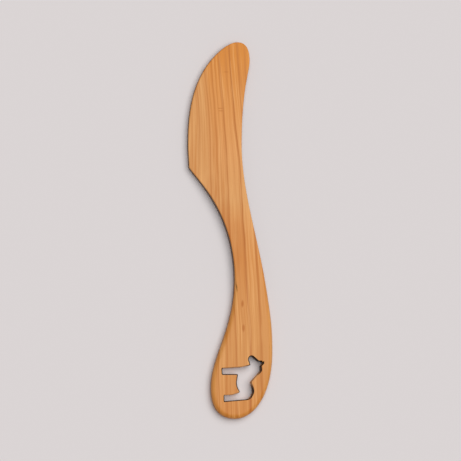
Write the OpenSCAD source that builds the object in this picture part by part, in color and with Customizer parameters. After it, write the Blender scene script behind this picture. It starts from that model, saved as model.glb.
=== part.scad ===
// Flat wooden butter spreader, cut in one piece from a thin board.
// A wide S-curved blade, a narrow neck and a bulb-shaped handle, with a
// traditional carved-horse silhouette cut right through the handle.
// The underside lies on z = 0, the tip points along +Y and the straight
// side of the blade faces +X. The origin is the middle of the underside.

/* [Board] */
// Thickness of the board
board_thickness = 5; // [3.5:0.1:7]

/* [Blade] */
// Height of the blade, from the heel corner to the tip
blade_length = 60.3; // [48:0.1:75]
// Width of the blade, from the spine's hollow to the fullest point of the belly
blade_width = 25.7; // [20:0.1:32]
// Height of the belly's fullest point above the heel corner
belly_rise = 11; // [5:0.5:18]
// How far the heel corner lies inside the belly's fullest point
heel_inset = 0.5; // [0.2:0.1:2]
// Radius of the heel corner on the flat of the face, inside the rounded edge
heel_round = 0.1; // [0.1:0.1:1.5]
// Angle below the horizontal at which the notch leaves the heel corner
notch_angle = 58; // [45:1:70]
// Width of the tip, from its top point to the end of the sloping belly
tip_width = 10.55; // [6:0.05:14]
// Drop from the tip's top point to the end of the sloping belly
tip_drop = 6.4; // [3:0.05:9]
// Angle of the belly's slope below the tip
tip_slope = 46; // [35:0.1:55]
// How far the tip's top point lies inside the spine's shoulder
tip_setback = 5.85; // [3:0.05:8]
// Drop from the tip's top point to the spine's shoulder
shoulder_drop = 8.8; // [5:0.1:14]
// How far the spine's shoulder stands out past the spine's hollow
shoulder_lean = 4; // [1:0.05:6]
// Thickness of the spreading edge and of the tip
blade_edge = 3.6; // [2:0.1:4.5]
// Radius that eases the edges of the blade, the notch and the neck
blade_round = 0.5; // [0.2:0.05:1]
// Length below the heel corner over which the thin edge grows to the full board
blade_runout = 16; // [8:1:30]

/* [Neck] */
// Length of the neck, from the heel corner down to the waist
neck_length = 52.9; // [40:0.1:65]
// Width of the neck at the waist
waist_width = 14.6; // [11:0.05:18]
// How far the waist's notch side lies left of the spine's hollow
waist_offset = 3.4; // [1:0.1:5]
// Lean of the neck's back at the waist
neck_lean = 11; // [5:0.5:16]

/* [Handle] */
// Length of the handle, from the waist to the butt
handle_length = 66.9; // [56:0.1:80]
// Width of the handle at its fullest
handle_width = 29.8; // [24:0.1:34]
// How far the handle's back stands out past the spine's hollow
handle_swing = 15.1; // [11:0.1:18]
// Drop from the waist to the fullest point of the handle's back
back_drop = 34.7; // [26:0.1:40]
// Height above the butt of the fullest point of the handle's front
front_rise = 14.7; // [11:0.1:22]
// Distance of the butt's lowest point from the handle's front
butt_offset = 11.7; // [9:0.1:14]
// Radius that rounds the handle's edges, on both faces
handle_round = 2.3; // [0.5:0.1:2.4]
// How far above the waist the handle's rounding starts to grow from the blade's
handle_round_start = 12; // [0:1:25]
// Length over which it grows
handle_round_runout = 30; // [15:1:45]

/* [Horse cut-out] */
// Wood left between the horse's feet and the handle's front
feet_wall = 5.6; // [3:0.05:6]
// Wood left between the horse's ears and the handle's back
ears_wall = 4.2; // [3:0.05:6]
// Height of the middle of the horse above the butt
horse_rise = 18.3; // [17:0.1:22]
// Turn of the horse against the board
horse_turn = 3.4; // [-5:0.1:8]

/* [Curve fullness] */
// Pull of the sloping belly at the tip's corner and at the tip's top point
tip_front_pull = [0.4, 0.26]; // [0.1:0.01:0.8]
// Pull of the tip's back at the top point and at the shoulder
tip_back_pull = [0.42, 0.5]; // [0.1:0.01:0.8]
// Pull of the belly at its fullest point and at the tip's corner
belly_pull = [0.3, 0.38]; // [0.1:0.01:0.8]
// Pull of the spine at the shoulder and at the hollow
spine_pull = [0.133, 0.663]; // [0.1:0.001:0.8]
// Pull of the notch at the heel corner and at the waist
notch_pull = [0.113, 0.545]; // [0.1:0.001:0.8]
// Pull of the neck's back at the hollow and at the waist
neck_pull = [0.31, 0.37]; // [0.1:0.01:0.8]
// Pull of the handle's front at the waist and at its fullest point
front_pull = [0.457, 0.285]; // [0.1:0.001:0.8]
// Pull of the handle's back at the waist and at its fullest point
back_pull = [0.53, 0.27]; // [0.1:0.01:0.8]
// Pull of the butt's front at the handle's fullest point and at the butt
butt_front_pull = [0.615, 0.31]; // [0.1:0.005:0.8]
// Pull of the butt's back at the handle's fullest point and at the butt
butt_back_pull = [0.59, 0.23]; // [0.1:0.01:0.8]

/* [Hidden] */

// Largest share of the edge's thickness that its rounding may take on each face
round_share = 0.48;
// How fast the spine thins towards the tip
spine_fall = 2.5;
// How round the face is between the spine and the spreading edge
face_crown = 1.3;
// Steps round a quarter of the edge rounding
round_steps = 4;
// Strips across the blade's face
face_strips = 6;
// Clearance by which the cut-out passes both faces
cut_clear = 1;

// Directions
to_right = [1, 0];
to_left = [-1, 0];
down = [0, -1];

// Landmarks of the outline: x = 0 is the spine's hollow, y = 0 is the heel corner
tip = [shoulder_lean - tip_setback, blade_length];
shoulder = [shoulder_lean, blade_length - shoulder_drop];
hollow = [0, belly_rise];
tip_corner = tip - [tip_width, tip_drop];
belly = [-blade_width, belly_rise];
heel = [heel_inset - blade_width, 0];
waist = [-waist_offset, -neck_length];
waist_back = waist + [waist_width, 0];
butt_y = -neck_length - handle_length;
back_full = [handle_swing, -neck_length - back_drop];
front_full = [handle_swing - handle_width, butt_y + front_rise];
butt = [front_full[0] + butt_offset, butt_y];

// Points of a curve from p, setting off along dp, to q, arriving along dq
function bend(p, dp, pulls, dq, q, steps) =
    let (span = norm(q - p), a = p + dp * span * pulls[0], b = q - dq * span * pulls[1])
    [for (k = [0:steps - 1]) let (t = k / steps, s = 1 - t)
        s^3 * p + 3 * s^2 * t * a + 3 * s * t^2 * b + t^3 * q];

// Points of an arc that rounds the corner between two directions
function corner(p, d_in, d_out, radius, steps) =
    let (turn = atan2(d_in[0] * d_out[1] - d_in[1] * d_out[0], d_in * d_out),
         back = radius * tan(abs(turn) / 2),
         side = sign(turn) * [-d_in[1], d_in[0]],
         middle = p - d_in * back + side * radius)
    [for (k = [0:steps]) let (a = turn * k / steps, x = -side[0], y = -side[1])
        middle + radius * [x * cos(a) - y * sin(a), x * sin(a) + y * cos(a)]];

function flip(pair) = [pair[1], pair[0]];
function unit(v) = v / norm(v);
function ease(t) = let (c = min(1, max(0, t))) c * c * (3 - 2 * c);

// Front of the outline, from the tip down to the butt
heel_in = unit([heel_inset / 2, -belly_rise]);
heel_out = [cos(notch_angle), -sin(notch_angle)];
heel_arc = corner(heel, heel_in, heel_out, heel_round + blade_round, 4);
front = concat(
    bend(tip, to_left, flip(tip_front_pull), [-cos(tip_slope), -sin(tip_slope)], tip_corner, 8),
    bend(tip_corner, [-cos(tip_slope), -sin(tip_slope)], flip(belly_pull), down, belly, 14),
    bend(belly, down, [0.3, 0.3], heel_in, heel_arc[0], 3),
    heel_arc,
    bend(heel_arc[4], heel_out, notch_pull, down, waist, 20),
    bend(waist, down, front_pull, down, front_full, 16),
    bend(front_full, down, butt_front_pull, to_right, butt, 12),
    [butt]);

// Back of the outline, from the tip down to the butt, with as many points
lean = [sin(neck_lean), -cos(neck_lean)];
back_steps = len(front) - 1 - 10 - 16 - 12 - 16;
back = concat(
    bend(tip, to_right, tip_back_pull, down, shoulder, 10),
    bend(shoulder, down, spine_pull, down, hollow, 16),
    bend(hollow, down, neck_pull, lean, waist_back, back_steps),
    bend(waist_back, lean, back_pull, down, back_full, 12),
    bend(back_full, down, butt_back_pull, to_left, butt, 16),
    [butt]);

// The closed outline, down the front and up the back
rungs = len(front) - 1;
outline = concat(front, [for (k = [rungs - 1:-1:1]) back[k]]);
count = len(outline);
low = [for (axis = [0, 1]) min([for (p = outline) p[axis]])];
high = [for (axis = [0, 1]) max([for (p = outline) p[axis]])];
centre = (low + high) / 2;

// Thickness at the edge: the spreading edge and the tip are thin
function spine_thickness(y) =
    board_thickness - (board_thickness - blade_edge)
        * max(0, (y - belly_rise) / (blade_length - belly_rise))^spine_fall;
function front_thickness(y) =
    board_thickness - (board_thickness - blade_edge) * ease(1 + y / blade_runout);
function edge_thickness(k) =
    k <= rungs ? front_thickness(outline[k][1]) : spine_thickness(outline[k][1]);
function edge_radius(k) =
    let (grown = ease((waist[1] + handle_round_start - outline[k][1]) / handle_round_runout),
         wanted = blade_round + (handle_round - blade_round) * grown)
    min(wanted, round_share * edge_thickness(k));
function inward(k) =
    let (d = unit(outline[(k + 1) % count] - outline[(k + count - 1) % count])) [-d[1], d[0]];

// Rings of the rounded edge, from the underside to the face
levels = 2 * (round_steps + 1);
function ring_point(level, k) =
    let (top = level > round_steps,
         step = top ? levels - 1 - level : level,
         a = 90 * step / round_steps,
         r = edge_radius(k),
         p = outline[k] + inward(k) * r * (1 - sin(a)),
         z = r * (1 - cos(a)))
    [p[0], p[1], top ? edge_thickness(k) - z : z];
rings = [for (level = [0:levels - 1]) for (k = [0:count - 1]) ring_point(level, k)];

// The face between the front edge and the back edge
last_ring = (levels - 1) * count;
function face_point(i, k) =
    let (a = rings[last_ring + i], b = rings[last_ring + count - i], s = k / face_strips,
         z = a[2] + (b[2] - a[2]) * (1 - (1 - s)^face_crown))
    [a[0] + (b[0] - a[0]) * s, a[1] + (b[1] - a[1]) * s, z];
face = [for (i = [1:rungs - 1]) for (k = [1:face_strips - 1]) face_point(i, k)];

// Number of a point of the face: i counts down the blade, k counts from front to back
function face_id(i, k) =
    i == 0 ? last_ring :
    i == rungs ? last_ring + rungs :
    k == 0 ? last_ring + i :
    k == face_strips ? last_ring + count - i :
    levels * count + (i - 1) * (face_strips - 1) + k - 1;
function floor_id(i, k) = i == 0 ? 0 : i == rungs ? rungs : k == 0 ? i : count - i;

// Two triangles of a patch, or one where it comes to a point
function patch(a, b, c, d) =
    a == b ? [[a, c, d]] :
    c == d ? [[a, b, c]] :
    [[a, b, c], [a, c, d]];

skin = concat(
    [for (level = [0:levels - 2]) for (k = [0:count - 1])
        let (n = (k + 1) % count, lo = level * count, hi = lo + count)
        each [[lo + k, hi + n, lo + n], [lo + k, hi + k, hi + n]]],
    [for (i = [0:rungs - 1]) for (k = [0:face_strips - 1])
        each patch(face_id(i, k), face_id(i, k + 1), face_id(i + 1, k + 1), face_id(i + 1, k))],
    [for (i = [0:rungs - 1])
        each patch(floor_id(i, 1), floor_id(i, 0), floor_id(i + 1, 0), floor_id(i + 1, 1))]);

// The horse, drawn 20 high: [height above the ground, forward from the forefoot, rounding]
horse_drawn = 20;
horse_points = [
    [0, -0.35, 0.2], [9.2, -0.3, 6], [13.85, 0.4, 0.4], [12.86, 3.64, 1.4], [14.45, 5.17, 1.2],
    [17.7, 2, 0.3], [20, 1.85, 0.1], [19.95, 1, 0.1], [18.65, -0.1, 0.3],
    [18.75, -2.45, 1.3], [13.6, -7.5, 1.5], [14.5, -12.3, 3], [12.6, -15.6, 3],
    [0.15, -15.98, 0.2], [0.3, -13.25, 0.2], [4.2, -13.25, 6], [8.1, -12.3, 0.8],
    [6.35, -8.6, 6], [7.5, -3.4, 0.6], [0, -3.05, 0.2]];
horse_middle = -6.1;
horse_height = handle_width - feet_wall - ears_wall;
horse_scale = horse_height / horse_drawn;
horse_at = [front_full[0] + feet_wall, butt_y + horse_rise];

// Points of a closed outline with each corner rounded by its own radius
function rounded(list) =
    [for (k = [0:len(list) - 1])
        let (n = len(list), here = list[k], before = list[(k + n - 1) % n], after = list[(k + 1) % n],
             p = [here[0], here[1]],
             d_in = unit(p - [before[0], before[1]]),
             d_out = unit([after[0], after[1]] - p))
        each corner(p, d_in, d_out, here[2], here[2] < 0.5 ? 2 : 6)];

module horse() {
    translate(horse_at)
        rotate(horse_turn)
            translate([0, -horse_middle * horse_scale])
                scale(horse_scale)
                    polygon(rounded(horse_points));
}

module spreader() {
    color("burlywood")
        translate([-centre[0], -centre[1], 0])
            difference() {
                polyhedron(points = concat(rings, face), faces = skin, convexity = 6);
                translate([0, 0, -cut_clear])
                    linear_extrude(height = board_thickness + 2 * cut_clear)
                        horse();
            }
}

spreader();
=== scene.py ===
import math

import bmesh
import bpy
from mathutils import Matrix, Vector


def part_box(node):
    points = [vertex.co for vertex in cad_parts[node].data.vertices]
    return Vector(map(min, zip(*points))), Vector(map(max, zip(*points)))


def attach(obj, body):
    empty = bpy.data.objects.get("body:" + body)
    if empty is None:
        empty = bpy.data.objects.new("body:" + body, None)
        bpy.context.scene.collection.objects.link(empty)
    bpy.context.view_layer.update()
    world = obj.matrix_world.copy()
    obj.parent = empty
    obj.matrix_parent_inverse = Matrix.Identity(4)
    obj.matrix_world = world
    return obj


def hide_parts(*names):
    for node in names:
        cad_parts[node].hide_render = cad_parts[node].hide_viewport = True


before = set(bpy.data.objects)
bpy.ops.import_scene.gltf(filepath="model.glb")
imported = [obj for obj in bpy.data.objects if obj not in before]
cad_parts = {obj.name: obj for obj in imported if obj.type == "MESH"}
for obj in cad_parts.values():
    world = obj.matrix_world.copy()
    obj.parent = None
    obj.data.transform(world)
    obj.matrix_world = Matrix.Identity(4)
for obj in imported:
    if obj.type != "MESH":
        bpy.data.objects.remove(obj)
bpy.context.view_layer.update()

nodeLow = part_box("spreader")[0]
mm = 0.001
tiny = 1e-6  # keeps a division off zero
print("stage 1: packed model loaded")


# Camera, floor and light

view = {
    "aim": (-0.18, -0.26, 5.0),  # point of the upper face at the middle of the picture, mm
    "distance": 2000.0,
    "leanLeft": 9.0,  # degrees that the camera leans out towards the notch side
    "leanDown": 3.0,  # degrees that it leans out towards the butt
    "pictureWidth": 219.8,  # width that the picture covers at the upper face, mm
    "sensor": 36.0,
}

studio = {
    "floorSize": 3.0,  # metres
    "floorColour": (218, 212, 212),
    "floorDrop": 0.00002,  # metres, so that the underside and the floor don't share a plane
    "paperRoughness": 0.9,
    "skyStrength": 0.2,
    "lampFrom": (0.2, 0.22, 1.0),  # direction that the soft light comes from
    "lampSpread": 66.0,  # degrees that the light spans
    "lampShare": 0.805,  # share of the floor's light that the lamp gives
}


def linear(r, g, b):
    # screen colour from 0 to 255 to the renderer's own values, by the standard screen curve
    channels = [c / 255 for c in (r, g, b)]
    return tuple(c / 12.92 if c <= 0.04045 else ((c + 0.055) / 1.055) ** 2.4 for c in channels) + (1,)


def addCamera():
    data = bpy.data.cameras.new("camera")
    data.sensor_width = view["sensor"]
    data.lens = view["sensor"] * view["distance"] / view["pictureWidth"]
    camera = bpy.data.objects.new("camera", data)
    bpy.context.scene.collection.objects.link(camera)
    left, down = math.radians(view["leanLeft"]), math.radians(view["leanDown"])
    away = Vector((-math.tan(left), -math.tan(down), 1)).normalized()
    camera.location = (Vector(view["aim"]) + away * view["distance"]) * mm
    across = Vector((0, 1, 0)).cross(away).normalized()
    camera.rotation_euler = Matrix((across, away.cross(across), away)).transposed().to_euler()
    bpy.context.scene.camera = camera


def addStudio():
    floorMesh = bpy.data.meshes.new("floor")
    bm = bmesh.new()
    bmesh.ops.create_grid(bm, x_segments=1, y_segments=1, size=studio["floorSize"] / 2)
    bmesh.ops.translate(bm, verts=bm.verts, vec=(0, 0, nodeLow.z - studio["floorDrop"]))
    bm.to_mesh(floorMesh)
    bm.free()
    floor = bpy.data.objects.new("floor", floorMesh)
    bpy.context.scene.collection.objects.link(floor)
    paper = bpy.data.materials.new("paper")
    paper.use_nodes = True
    shader = paper.node_tree.nodes["Principled BSDF"]
    shader.inputs["Base Color"].default_value = linear(*studio["floorColour"])
    shader.inputs["Roughness"].default_value = studio["paperRoughness"]
    shader.inputs["Specular IOR Level"].default_value = 0.0
    floorMesh.materials.append(paper)

    lamp = bpy.data.lights.new("softLamp", "SUN")
    toLamp = Vector(studio["lampFrom"]).normalized()
    lamp.angle = math.radians(studio["lampSpread"])
    lamp.energy = math.pi * studio["lampShare"] / toLamp.z
    lampHolder = bpy.data.objects.new("softLamp", lamp)
    bpy.context.scene.collection.objects.link(lampHolder)
    lampHolder.location = toLamp
    lampHolder.rotation_euler = (-toLamp).to_track_quat("-Z", "Y").to_euler()

    world = bpy.data.worlds.new("sky")
    world.use_nodes = True
    sky = world.node_tree.nodes["Background"]
    sky.inputs["Color"].default_value = (1, 1, 1, 1)
    sky.inputs["Strength"].default_value = studio["skyStrength"]
    bpy.context.scene.world = world
    bpy.context.scene.view_settings.view_transform = "Standard"


# Shape of the spreader, in millimetres
# x is 0 at the hollow of the blade's spine, y at the heel corner and z on the underside

board = {
    "thickness": 5.0,
    "tip": (-1.85, 60.3),
    "tipCorner": (-12.4, 53.9),
    "tipSlope": 46.0,
    "belly": (-25.7, 11.0),
    "heel": (-25.2, 0.0),
    "heelTurn": 0.5,  # how much of the slant from the belly to the heel is left at the heel
    "heelRound": 0.6,
    "notchAngle": 58.0,
    "waist": (-3.4, -52.9),
    "handleFront": (-14.7, -105.1),
    "butt": (-3.0, -119.8),
    "handleBack": (15.1, -87.6),
    "neckBack": (11.2, -52.9),
    "neckLean": 11.0,
    "hollow": (0.0, 11.0),
    "shoulder": (4.0, 51.5),
    "curveSteps": 28,
    "mergeCloser": 0.12,  # points of the outline closer than this become one
    "straightWithin": 0.01,  # radians; a bend smaller than this goes
}

# How far each stretch of the outline follows its two ends, as shares of its length
pulls = {
    "tipFront": (0.26, 0.4),
    "belly": (0.38, 0.3),
    "heelSide": (0.3, 0.3),
    "heelArc": (0.34, 0.34),
    "notch": (0.113, 0.545),
    "front": (0.457, 0.285),
    "buttFront": (0.615, 0.31),
    "buttBack": (0.23, 0.59),
    "back": (0.27, 0.53),
    "neck": (0.37, 0.31),
    "spine": (0.663, 0.133),
    "tipBack": (0.5, 0.42),
}

# The horse lies on its side: height above its hooves, forward from the forefoot, corner radius
horse = {
    "middle": -6.1,  # the place between its feet that is put at "at"
    "at": (-9.1, -101.5),
    "turn": 3.4,  # degrees
    "corners": [
        (0, -0.35, 0.2), (9.2, -0.3, 6), (13.85, 0.4, 0.5), (12.86, 3.64, 1.4), (14.45, 5.17, 1.2),
        (17.7, 2.0, 0.6), (20.0, 1.85, 0.1), (19.95, 1.0, 0.1), (18.65, -0.1, 0.5),
        (18.75, -2.45, 1.3), (13.6, -7.5, 1.5), (14.5, -12.3, 3), (12.6, -15.6, 3),
        (0.15, -15.98, 0.2), (0.3, -13.25, 0.2), (4.2, -13.25, 6), (8.1, -12.3, 0.8),
        (6.35, -8.6, 6), (7.5, -3.4, 0.6), (0, -3.05, 0.2),
    ],
    "straightPull": (0.3, 0.3),
    "curveSteps": 8,
}

edges = {
    "bladeRound": 0.5,  # radius on the blade and the neck
    "handleRound": 2.3,  # radius at the butt
    "handleRoundFrom": -40.9,  # the handle's rounding starts to grow here
    "handleRoundRunout": 30.0,
    "cutoutEase": 0.42,
    "steps": 5,
    # upward part of the normals of walls, of flat faces and of the cut-out's eased edge
    "wallBelow": 0.1,
    "flatAbove": 0.9,
    "easedBelow": 0.995,
    "normalWeight": 100,  # large faces keep their flat shading beside the rounding
}

face = {
    "bladeEdge": 3.6,  # thickness of the spreading edge and the tip
    "bladeRunout": 16.0,  # the thinning ends this far below the heel
    "spineFall": 2.5,  # how late the spine thins towards the tip
    "crown": 1.3,  # above 1 the face bulges between the edge and the spine
    "cutSpacing": 2.4,  # cuts across the face that let it curve
    "cutSnap": 0.0005,
    "levelAbove": 0.999,  # upward part of the normal of a face that is cut
    "narrowest": 0.01,  # least width that is reckoned with at the tip
}


def ease(t):
    t = min(1.0, max(0.0, t))
    return t * t * (3 - 2 * t)


def heading(degrees):
    return Vector((math.cos(math.radians(degrees)), math.sin(math.radians(degrees))))


def outlineStops():
    # each stop: point, direction of travel, pulls of the stretch that follows
    spot = {name: Vector(board[name]) for name in board if isinstance(board[name], tuple)}
    drop = spot["heel"] - spot["belly"]
    heelIn = Vector((drop.x * board["heelTurn"], drop.y)).normalized()
    heelOut = heading(-board["notchAngle"])
    trim = board["heelRound"] * math.tan(heelIn.angle(heelOut) / 2)
    down, up, left, right = heading(-90), heading(90), heading(180), heading(0)
    return [
        (spot["tip"], left, pulls["tipFront"]),
        (spot["tipCorner"], heading(180 + board["tipSlope"]), pulls["belly"]),
        (spot["belly"], down, pulls["heelSide"]),
        (spot["heel"] - heelIn * trim, heelIn, pulls["heelArc"]),
        (spot["heel"] + heelOut * trim, heelOut, pulls["notch"]),
        (spot["waist"], down, pulls["front"]),
        (spot["handleFront"], down, pulls["buttFront"]),
        (spot["butt"], right, pulls["buttBack"]),
        (spot["handleBack"], up, pulls["back"]),
        (spot["neckBack"], heading(90 + board["neckLean"]), pulls["neck"]),
        (spot["hollow"], up, pulls["spine"]),
        (spot["shoulder"], up, pulls["tipBack"]),
    ]


def horseStops():
    # straight lines joined by round corners
    turn = Matrix.Rotation(math.radians(horse["turn"]), 2)
    corners = [
        (turn @ Vector((height, forward - horse["middle"])) + Vector(horse["at"]), radius)
        for height, forward, radius in horse["corners"]
    ]
    stops = []
    for k, (place, radius) in enumerate(corners):
        before = (place - corners[k - 1][0]).normalized()
        after = (corners[(k + 1) % len(corners)][0] - place).normalized()
        bend = before.angle(after)
        trim = radius * math.tan(bend / 2)
        arc = 2 / 3 * math.tan(bend / 4) / math.sin(bend / 2)  # pull of a round arc
        stops.append((place - before * trim, before, (arc, arc)))
        stops.append((place + after * trim, after, horse["straightPull"]))
    return stops


def drawSpline(curve, stops, steps):
    spline = curve.splines.new("BEZIER")
    spline.bezier_points.add(len(stops) - 1)
    spline.use_cyclic_u = True
    spline.resolution_u = steps
    for k, (point, direction, (leave, arrive)) in enumerate(stops):
        following, arriving = stops[(k + 1) % len(stops)][:2]
        span = (following - point).length
        here = spline.bezier_points[k]
        there = spline.bezier_points[(k + 1) % len(stops)]
        here.co = (*point, 0)
        here.handle_right = (*(point + direction * span * leave), 0)
        there.handle_left = (*(following - arriving * span * arrive), 0)


def cutBlank():
    # the flat outline with the horse left open
    curve = bpy.data.curves.new("outline", "CURVE")
    curve.dimensions = "2D"
    curve.fill_mode = "BOTH"
    drawSpline(curve, outlineStops(), board["curveSteps"])
    drawSpline(curve, horseStops(), horse["curveSteps"])
    drawn = bpy.data.objects.new("outline", curve)
    bpy.context.scene.collection.objects.link(drawn)
    bpy.context.view_layer.update()
    mesh = bpy.data.meshes.new_from_object(drawn.evaluated_get(bpy.context.evaluated_depsgraph_get()))
    bpy.data.objects.remove(drawn)
    bpy.data.curves.remove(curve)
    bm = bmesh.new()
    bm.from_mesh(mesh)
    bpy.data.meshes.remove(mesh)
    bmesh.ops.remove_doubles(bm, verts=bm.verts, dist=board["mergeCloser"])
    return bm


def walkRim(start):
    # the rim's points in order, once round from start
    walk, before, here = [start], None, start
    while True:
        nearby = [e.other_vert(here) for e in here.link_edges if e.is_boundary]
        before, here = here, next(v for v in nearby if v is not before)
        if here is start:
            return walk
        walk.append(here)


def reach(edge, y):
    # x of a side of the outline at y; edge is a list of points with falling y
    for a, b in zip(edge, edge[1:]):
        if a.y >= y >= b.y:
            return a.x + (b.x - a.x) * (a.y - y) / max(tiny, a.y - b.y)
    return edge[0].x if y > edge[0].y else edge[-1].x


def splitSides(rim):
    # the rim from the tip to the butt, down the front and down the back
    points = [v.co.xy.copy() for v in rim]
    bottom = min(range(len(points)), key=lambda k: points[k].y)
    sides = [points[:bottom + 1], [points[0]] + points[:bottom - 1:-1]]
    return sorted(sides, key=lambda side: reach(side, board["belly"][1]))


def upward(f):
    return abs(f.normal.z)


def edgeRadius(y):
    grown = ease((edges["handleRoundFrom"] - y) / edges["handleRoundRunout"])
    return edges["bladeRound"] + (edges["handleRound"] - edges["bladeRound"]) * grown


def markRims(bm):
    # each rim edge gets its share of the widest rounding
    weight = bm.edges.layers.float.new("bevel_weight_edge")
    for e in bm.edges:
        flat = [f for f in e.link_faces if upward(f) > edges["flatAbove"]]
        wall = [f for f in e.link_faces if upward(f) < edges["wallBelow"]]
        if len(flat) == 1 and len(wall) == 1:
            y = (e.verts[0].co.y + e.verts[1].co.y) / 2
            radius = edges["cutoutEase"] if wall[0].material_index == 1 else edgeRadius(y)
            e[weight] = radius / edges["handleRound"]


def spreadScorch(bm):
    # the eased edge round the cut-out is scorched as its wall is
    burnt = [f for f in bm.faces if f.material_index == 1 and upward(f) < edges["wallBelow"]]
    walls = {v for f in burnt for v in f.verts}
    for _ in range(edges["steps"]):
        eased = [f for f in bm.faces if upward(f) < edges["easedBelow"]]
        touched = [f for f in eased if any(v in walls for v in f.verts)]
        for f in touched:
            f.material_index = 1
            walls.update(f.verts)


def sliceFace(bm):
    # narrow strips both ways, so that the face can curve
    lowest, highest = board["butt"][1], board["tip"][1]
    leftmost, rightmost = board["belly"][0], board["handleBack"][0]
    for normal, low, high in (((0, 1, 0), lowest, highest), ((1, 0, 0), leftmost, rightmost)):
        at = low + face["cutSpacing"]
        while at < high - face["cutSpacing"] / 2:
            flats = [f for f in bm.faces if upward(f) > face["levelAbove"]]
            around = [part for f in flats for part in (*f.edges, *f.verts)]
            parts = flats + list(dict.fromkeys(around))  # each part once
            place = Vector(normal) * at
            snap = face["cutSnap"]
            bmesh.ops.bisect_plane(bm, geom=parts, dist=snap, plane_co=place, plane_no=normal)
            at += face["cutSpacing"]


def thin(bm, frontEdge, backEdge):
    # the upper half comes down towards the spreading edge and the tip
    full = board["thickness"]
    for v in bm.verts:
        y = v.co.y
        if v.co.z < full / 2 or y < -face["bladeRunout"]:
            continue
        front = full - (full - face["bladeEdge"]) * ease(1 + y / face["bladeRunout"])
        rise = max(0.0, (y - board["belly"][1]) / (board["tip"][1] - board["belly"][1]))
        back = full - (full - face["bladeEdge"]) * rise ** face["spineFall"]
        left, right = reach(frontEdge, y), reach(backEdge, y)
        across = min(1.0, max(0.0, (v.co.x - left) / max(face["narrowest"], right - left)))
        height = front + (back - front) * (1 - (1 - across) ** face["crown"])
        v.co.z -= full - height


def makeSpreader():
    bm = cutBlank()
    inHorse = bm.verts.layers.int.new("inHorse")
    outer = walkRim(max((v for v in bm.verts if v.is_boundary), key=lambda v: v.co.y))
    frontEdge, backEdge = splitSides(outer)
    for v in bm.verts:
        v[inHorse] = 0 if v in outer else 1

    bmesh.ops.dissolve_limit(bm, angle_limit=board["straightWithin"], verts=[], edges=bm.edges)
    grown = bmesh.ops.extrude_face_region(bm, geom=bm.faces[:])
    lifted = [g for g in grown["geom"] if isinstance(g, bmesh.types.BMVert)]
    bmesh.ops.translate(bm, verts=lifted, vec=(0, 0, board["thickness"]))
    bmesh.ops.recalc_face_normals(bm, faces=bm.faces)
    for f in bm.faces:
        if upward(f) < edges["wallBelow"] and all(v[inHorse] for v in f.verts):
            f.material_index = 1
    bm.verts.layers.int.remove(inHorse)
    markRims(bm)

    mesh = bpy.data.meshes.new("spreaderBody")
    bm.to_mesh(mesh)
    bm.free()
    body = bpy.data.objects.new("spreader_body", mesh)
    bpy.context.scene.collection.objects.link(body)
    rounding = body.modifiers.new("rounding", "BEVEL")
    rounding.limit_method = "WEIGHT"
    rounding.width = edges["handleRound"]
    rounding.segments = edges["steps"]
    rounding.profile = 0.5
    rounding.use_clamp_overlap = False
    rounding.loop_slide = False
    rounding.material = -1
    bpy.context.view_layer.update()
    rounded = bpy.data.meshes.new_from_object(body.evaluated_get(bpy.context.evaluated_depsgraph_get()))
    body.modifiers.clear()

    bm = bmesh.new()
    bm.from_mesh(rounded)
    bpy.data.meshes.remove(rounded)
    spreadScorch(bm)
    sliceFace(bm)
    thin(bm, frontEdge, backEdge)
    low = Vector([min(v.co[i] for v in bm.verts) for i in range(3)])
    bmesh.ops.translate(bm, verts=bm.verts, vec=-low)
    bmesh.ops.scale(bm, verts=bm.verts, vec=(mm, mm, mm))
    bmesh.ops.translate(bm, verts=bm.verts, vec=nodeLow)
    for f in bm.faces:
        f.smooth = True
    bm.to_mesh(mesh)
    openEdges = sum(1 for e in bm.edges if not e.is_manifold)
    print("spreader:", len(bm.verts), "vertices", len(bm.faces), "faces", openEdges, "open edges")
    bm.free()
    body.modifiers.new("evenNormals", "WEIGHTED_NORMAL").weight = edges["normalWeight"]
    return body


# Wood, drawn in the finished part's own frame, in millimetres
# Where four numbers stand together, the first two are values to read, the last two what they become

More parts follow.
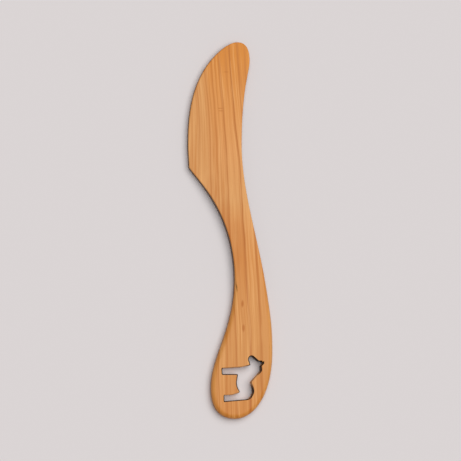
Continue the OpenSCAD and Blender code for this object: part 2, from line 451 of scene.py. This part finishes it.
grain = {
    # the growth lines follow this curve along the board: y, x
    "course": [
        (-90, 10.2), (-57, 9.9), (-38, 9.2), (-19, 7.8), (0, 6.6),
        (22, 5.4), (41, 3.7), (57, 1.8), (72, 0.4), (90, -0.6),
    ],
    "courseReach": (-2, 12),  # all x of the curve lie between these
    "narrowing": (0, 67, 1, 0.78),  # the lines close up towards the tip: y to share of the width
    "swayScale": (0.09, 0.035, 1),
    "swaySlice": 3.7,
    "sway": (0.3, 0.7, -0.35, 0.35),  # noise to mm sideways
    "slant": 0.12,  # sideways drift of the lines per mm of depth
    # darker late wood: sideways from the course, strength
    "lines": [
        (-25.6, 0.4), (-21.8, 0.7), (-15.7, 0.75), (-11.7, 0.7), (-9.9, 0.6),
        (-6.9, 0.95), (-3.4, 0.4), (-0.24, 1.0), (5.0, 0.85), (9.4, 0.55),
    ],
    "linesReach": (-30, 15),  # all lines lie between these
    "lineRise": 1.7,  # slow darkening on one side of a line, quick return on the other
    "linePeak": 0.15,
    "lineFall": 0.7,
    "linePower": 1.6,  # draws the dark together at the peak
    "closestStops": 0.0005,
    "fadeScale": (0.25, 0.05, 1),
    "fadeSlice": 8.1,
    "fade": (0.3, 0.65, 0.82, 1.0),  # noise to strength of the lines
    "strongLine": -0.65,  # a sharp line down the handle: sideways from the course
    "strongWidth": (0.5, 0, 0, 0.6),  # distance from its middle to strength
    "strongAlong": (-18, -34, 0, 1),  # y to strength
    # darker flecks, then soft patches by the neck and on the handle; the last patch, along the handle's
    # right edge, is painted shade on its rounding:
    # x, y, half width, half length, strength
    "marks": [
        (5.6, -35.15, 0.8, 2.2, 0.75), (6.1, -46.75, 0.9, 2.4, 0.7),
        (-5.0, 58.15, 1.6, 0.35, 0.55), (-4.8, 56.95, 1.6, 0.35, 0.55), (-2.1, 75.65, 1.8, 0.35, 0.4),
        (-9.0, 17.0, 4.5, 12.0, 0.24), (-3.0, 5.0, 4.0, 13.0, 0.25), (2.0, -9.0, 4.0, 17.0, 0.25),
        (15.0, -65.0, 5.0, 14.0, 0.15),
    ],
}

fibres = {
    "broadScale": (0.6, 0.012, 0.3),
    "broadShare": 0.45,
    "fineScale": (1.9, 0.035, 0.9),
    "fineShare": 0.55,
    "dark": (0.5, 0.66, 0, 0.68),  # noise to share of the dark fibres' tone
    "light": (0.5, 0.34, 0, 0.55),
    "poreScale": (4.5, 0.35, 3),
    "pores": (0.66, 0.78, 0, 0.2),
    "fibreHeight": 0.6,
    "poreHeight": -0.4,
    "reliefStrength": 0.12,
    "reliefDepth": 0.0002,  # metres
}

woodTones = {
    # colour between the lines along the board: y, screen colour; the darker, more saturated tip, and a
    # little the butt end, are painted shade where the surface turns away from the light's sheen
    "along": [
        (-88, (206, 132, 58)), (-62, (211, 145, 77)), (-32, (210, 140, 70)), (-14, (208, 132, 57)),
        (3, (211, 139, 69)), (14, (215, 152, 86)), (37, (221, 152, 84)), (84, (214, 133, 40)),
    ],
    "paleFront": (213, 151, 86),  # towards the blade's belly
    "paleAcross": (-20, -11, 1, 0),  # sideways from the course to share
    "paleAlong": (-15, 20, 0, 0.8),  # y to share
    "late": (176, 95, 0),
    "strongLate": (172, 80, 0),
    "fibreDark": (196, 119, 42),
    "fibreLight": (234, 173, 104),
    "pore": (140, 84, 40),
    "wallBrown": (64, 35, 11),
    "wallBrownSteep": (0.05, 0.45, 1, 0),  # upward part of the normal to share: the walls are darker brown
    "wallBrownAlong": (-60, -30, 0.6, 0.92),  # y to share: less on the handle
    "wallBrownTip": (50, 62, 1, 0.7),  # y to what is left of that near the tip
    "roughness": 0.44,
    "shine": 0.25,
}

# Walls of the cut-out, with painted light on walls that face the blade and painted shade on the others:
# facing is 1 where a wall looks towards the blade and -1 towards the butt
scorchAndShading = {
    "dark": (120, 76, 42),
    "brown": (176, 118, 68),
    "streakScale": (1.6, 1.6, 0.2),
    "streaks": (0.35, 0.7),  # noise levels of the dark and the brown
    "paleWall": (224, 160, 100),
    "paintedLightFacing": (0.3, 0.9),  # painted light: walls that face the blade, towards the light, are pale
    "rim": (28, 16, 8),
    "rimFrom": 2.05,  # distance from the middle of the wall at which the burnt line starts
    "rimSoft": 0.15,
    "shadeDeeper": (0.1, 0.7, 1.5, 0),  # facing to mm by which it starts nearer to the middle: painted shade that reaches further down walls that do not face the blade
    "sparedFacing": (-0.95, -0.75, 0.75, 0),  # walls of the legs that face the butt are less burnt
    "sparedAcross": (6, 11, 1, 0),  # x to share of that
    "withers": (10.8, -70.85),  # a paler wall here: x, y
    "withersPale": (2.0, 4.5, 0.85, 0),  # distance to share of the pale tone
    "leastSideways": 0.05,  # keeps facing low where the eased edge turns flat
    "roughness": 0.75,
    "shine": 0.25,
}


def put(tree, kind, settings, inputs):
    made = tree.nodes.new(kind)
    for name, value in settings.items():
        setattr(made, name, value)
    for key, value in inputs.items():
        if isinstance(value, bpy.types.NodeSocket):
            tree.links.new(value, made.inputs[key])
        else:
            made.inputs[key].default_value = value
    return made


def calc(tree, operation, *terms):
    return put(tree, "ShaderNodeMath", {"operation": operation}, dict(enumerate(terms))).outputs[0]


def spanTo(tree, value, low, high, toLow=0.0, toHigh=1.0, smooth=False):
    settings = {"interpolation_type": "SMOOTHSTEP" if smooth else "LINEAR"}
    numbers = {"Value": value, "From Min": low, "From Max": high, "To Min": toLow, "To Max": toHigh}
    return put(tree, "ShaderNodeMapRange", settings, numbers).outputs[0]


def ramp(tree, value, stops):
    # stops: position from 0 to 1, colour or grey level
    made = put(tree, "ShaderNodeValToRGB", {}, {"Fac": value})
    bar = made.color_ramp
    for k, (at, shade) in enumerate(stops):
        stop = bar.elements[k] if k < 2 else bar.elements.new(at)
        stop.position = at
        stop.color = shade if isinstance(shade, tuple) else (shade, shade, shade, 1)
    return made.outputs["Color"]


def paint(tree, base, share, tone):
    # tone: screen colour that covers this share of the base
    numbers = {"Factor": share, 6: base, 7: linear(*tone)}
    return put(tree, "ShaderNodeMix", {"data_type": "RGBA"}, numbers).outputs[2]


def noise(tree, place, scales, detail=2.0):
    spread = [calc(tree, "MULTIPLY", part, scale) for part, scale in zip(place, scales)]
    where = put(tree, "ShaderNodeCombineXYZ", {}, dict(enumerate(spread))).outputs[0]
    numbers = {"Vector": where, "Scale": 1.0, "Detail": detail}
    return put(tree, "ShaderNodeTexNoise", {}, numbers).outputs[0]


def sumOfSquares(tree, first, second):
    return calc(tree, "ADD", calc(tree, "POWER", first, 2), calc(tree, "POWER", second, 2))


def apart(tree, vector):
    return put(tree, "ShaderNodeSeparateXYZ", {}, {0: vector}).outputs


def startMaterial(name):
    # the last value returned is the place on the piece: x, y, z in mm
    material = bpy.data.materials.new(name)
    material.use_nodes = True
    tree = material.node_tree
    spot = put(tree, "ShaderNodeTexCoord", {}, {})
    numbers = {0: spot.outputs["Object"], "Scale": 1 / mm}
    scaled = put(tree, "ShaderNodeVectorMath", {"operation": "SCALE"}, numbers).outputs[0]
    return material, tree, tree.nodes["Principled BSDF"], spot.outputs["Normal"], apart(tree, scaled)


def courseAt(tree, y):
    # x of the middle of the grain at y
    low, high = grain["course"][0][0], grain["course"][-1][0]
    left, right = grain["courseReach"]
    course = put(tree, "ShaderNodeFloatCurve", {}, {"Value": spanTo(tree, y, low, high)})
    places = [((at - low) / (high - low), (x - left) / (right - left)) for at, x in grain["course"]]
    points = course.mapping.curves[0].points
    points[0].location = places[0]
    points[-1].location = places[-1]
    for place in places[1:-1]:
        points.new(*place)
    course.mapping.update()
    return spanTo(tree, course.outputs[0], 0, 1, left, right)


def acrossGrain(tree, x, y, z):
    # how far a place lies to the side of the grain's middle
    width = spanTo(tree, y, *grain["narrowing"], smooth=True)
    sway = noise(tree, (x, y, grain["swaySlice"]), grain["swayScale"], 1.0)
    across = calc(tree, "DIVIDE", calc(tree, "SUBTRACT", x, courseAt(tree, y)), width)
    across = calc(tree, "ADD", across, spanTo(tree, sway, *grain["sway"]))
    depth = calc(tree, "SUBTRACT", z, board["thickness"])
    return calc(tree, "ADD", across, calc(tree, "MULTIPLY", depth, grain["slant"]))


def lineStops(low, high):
    # one slow rise and quick fall per growth line
    stops = []
    for at, strength in grain["lines"]:
        for edge, level in ((-grain["lineRise"], 0), (-grain["linePeak"], strength), (grain["lineFall"], 0)):
            stops.append([(at + edge - low) / (high - low), level])
    for before, after in zip(stops, stops[1:]):
        if after[0] <= before[0]:
            after[0] = before[0] + grain["closestStops"]
    return stops


def plainWood(tree, across, y):
    low, high = grain["course"][0][0], grain["course"][-1][0]
    tones = [((at - low) / (high - low), linear(*shade)) for at, shade in woodTones["along"]]
    # the tone along the board holds painted shade at the tip and, a little, at the butt end
    base = ramp(tree, spanTo(tree, y, low, high), tones)
    front = spanTo(tree, across, *woodTones["paleAcross"], smooth=True)
    front = calc(tree, "MULTIPLY", front, spanTo(tree, y, *woodTones["paleAlong"], smooth=True))
    return paint(tree, base, front, woodTones["paleFront"])


def addLines(tree, base, across, y):
    low, high = grain["linesReach"]
    late = ramp(tree, spanTo(tree, across, low, high), lineStops(low, high))
    late = calc(tree, "POWER", late, grain["linePower"])
    fade = noise(tree, (across, y, grain["fadeSlice"]), grain["fadeScale"], 1.0)
    late = calc(tree, "MULTIPLY", late, spanTo(tree, fade, *grain["fade"]))
    base = paint(tree, base, late, woodTones["late"])
    beside = calc(tree, "ABSOLUTE", calc(tree, "SUBTRACT", across, grain["strongLine"]))
    strong = spanTo(tree, beside, *grain["strongWidth"], smooth=True)
    strong = calc(tree, "MULTIPLY", strong, spanTo(tree, y, *grain["strongAlong"], smooth=True))
    return paint(tree, base, strong, woodTones["strongLate"])


def addMarks(tree, base, x, y):
    # the last patch, at the handle's right edge, is painted shade on its rounding
    for markX, markY, halfWidth, halfLength, strength in grain["marks"]:
        aside = calc(tree, "DIVIDE", calc(tree, "SUBTRACT", x, markX), halfWidth)
        along = calc(tree, "DIVIDE", calc(tree, "SUBTRACT", y, markY), halfLength)
        share = spanTo(tree, sumOfSquares(tree, aside, along), 1, 0, 0, strength, smooth=True)
        base = paint(tree, base, share, woodTones["late"])
    return base


def darkenWalls(tree, base, normal, y):
    upward = calc(tree, "ABSOLUTE", apart(tree, normal)[2])
    darkened = spanTo(tree, upward, *woodTones["wallBrownSteep"], smooth=True)
    for along in (woodTones["wallBrownAlong"], woodTones["wallBrownTip"]):
        darkened = calc(tree, "MULTIPLY", darkened, spanTo(tree, y, *along, smooth=True))
    return paint(tree, base, darkened, woodTones["wallBrown"])


def makeWood():
    material, tree, shader, normal, (x, y, z) = startMaterial("honeyWood")
    across = acrossGrain(tree, x, y, z)
    base = plainWood(tree, across, y)
    base = addLines(tree, base, across, y)

    broad = calc(tree, "MULTIPLY", noise(tree, (across, y, z), fibres["broadScale"]), fibres["broadShare"])
    fine = calc(tree, "MULTIPLY", noise(tree, (across, y, z), fibres["fineScale"]), fibres["fineShare"])
    fibre = calc(tree, "ADD", broad, fine)
    pore = noise(tree, (across, y, z), fibres["poreScale"], 1.0)
    base = paint(tree, base, spanTo(tree, fibre, *fibres["dark"], smooth=True), woodTones["fibreDark"])
    base = paint(tree, base, spanTo(tree, fibre, *fibres["light"], smooth=True), woodTones["fibreLight"])
    base = paint(tree, base, spanTo(tree, pore, *fibres["pores"], smooth=True), woodTones["pore"])
    base = addMarks(tree, base, x, y)
    base = darkenWalls(tree, base, normal, y)

    tree.links.new(base, shader.inputs["Base Color"])
    shader.inputs["Roughness"].default_value = woodTones["roughness"]
    shader.inputs["Specular IOR Level"].default_value = woodTones["shine"]
    raised = calc(tree, "MULTIPLY", fibre, fibres["fibreHeight"])
    relief = calc(tree, "ADD", raised, calc(tree, "MULTIPLY", pore, fibres["poreHeight"]))
    numbers = {"Height": relief, "Strength": fibres["reliefStrength"], "Distance": fibres["reliefDepth"]}
    bump = put(tree, "ShaderNodeBump", {}, numbers)
    tree.links.new(bump.outputs[0], shader.inputs["Normal"])
    return material


def burntRimAndShade(tree, facing, z):
    # dark where a wall meets the upper and the lower face: a burnt line, reaching further down as painted
    # shade on walls that do not face the blade
    middle = board["thickness"] / 2
    depth = calc(tree, "ABSOLUTE", calc(tree, "SUBTRACT", z, middle))
    depth = calc(tree, "ADD", depth, spanTo(tree, facing, *scorchAndShading["shadeDeeper"], smooth=True))
    start = scorchAndShading["rimFrom"]
    return spanTo(tree, depth, start, start + scorchAndShading["rimSoft"], smooth=True)


def makeScorchAndShading():
    material, tree, shader, normal, (x, y, z) = startMaterial("scorchedAndShadedWall")
    streak = noise(tree, (x, y, z), scorchAndShading["streakScale"])
    tone = paint(tree, linear(*scorchAndShading["dark"]), spanTo(tree, streak, *scorchAndShading["streaks"]), scorchAndShading["brown"])
    toX, toY = apart(tree, normal)[:2]
    sideways = calc(tree, "SQRT", sumOfSquares(tree, toX, toY))
    facing = calc(tree, "DIVIDE", toY, calc(tree, "MAXIMUM", sideways, scorchAndShading["leastSideways"]))
    # painted light: pale on walls that face the blade, towards the lamp
    pale = spanTo(tree, facing, *scorchAndShading["paintedLightFacing"], smooth=True)
    tone = paint(tree, tone, pale, scorchAndShading["paleWall"])

    spared = spanTo(tree, facing, *scorchAndShading["sparedFacing"], smooth=True)
    spared = calc(tree, "MULTIPLY", spared, spanTo(tree, x, *scorchAndShading["sparedAcross"], smooth=True))
    tone = paint(tree, tone, spared, scorchAndShading["paleWall"])
    # the burnt line with its painted shade, less where the legs' walls are spared
    burnt = calc(tree, "MULTIPLY", burntRimAndShade(tree, facing, z), calc(tree, "SUBTRACT", 1, spared))
    tone = paint(tree, tone, burnt, scorchAndShading["rim"])

    aside = calc(tree, "SUBTRACT", x, scorchAndShading["withers"][0])
    along = calc(tree, "SUBTRACT", y, scorchAndShading["withers"][1])
    away = calc(tree, "SQRT", sumOfSquares(tree, aside, along))
    tone = paint(tree, tone, spanTo(tree, away, *scorchAndShading["withersPale"], smooth=True), scorchAndShading["paleWall"])
    tree.links.new(tone, shader.inputs["Base Color"])
    shader.inputs["Roughness"].default_value = scorchAndShading["roughness"]
    shader.inputs["Specular IOR Level"].default_value = scorchAndShading["shine"]
    return material


addCamera()
addStudio()
print("stage 2: camera and studio ready")
body = makeSpreader()
print("stage 3: spreader shaped")
body.data.materials.append(makeWood())
body.data.materials.append(makeScorchAndShading())
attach(body, "root")
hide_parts("spreader")
print("stage 4: wood and scorch on")
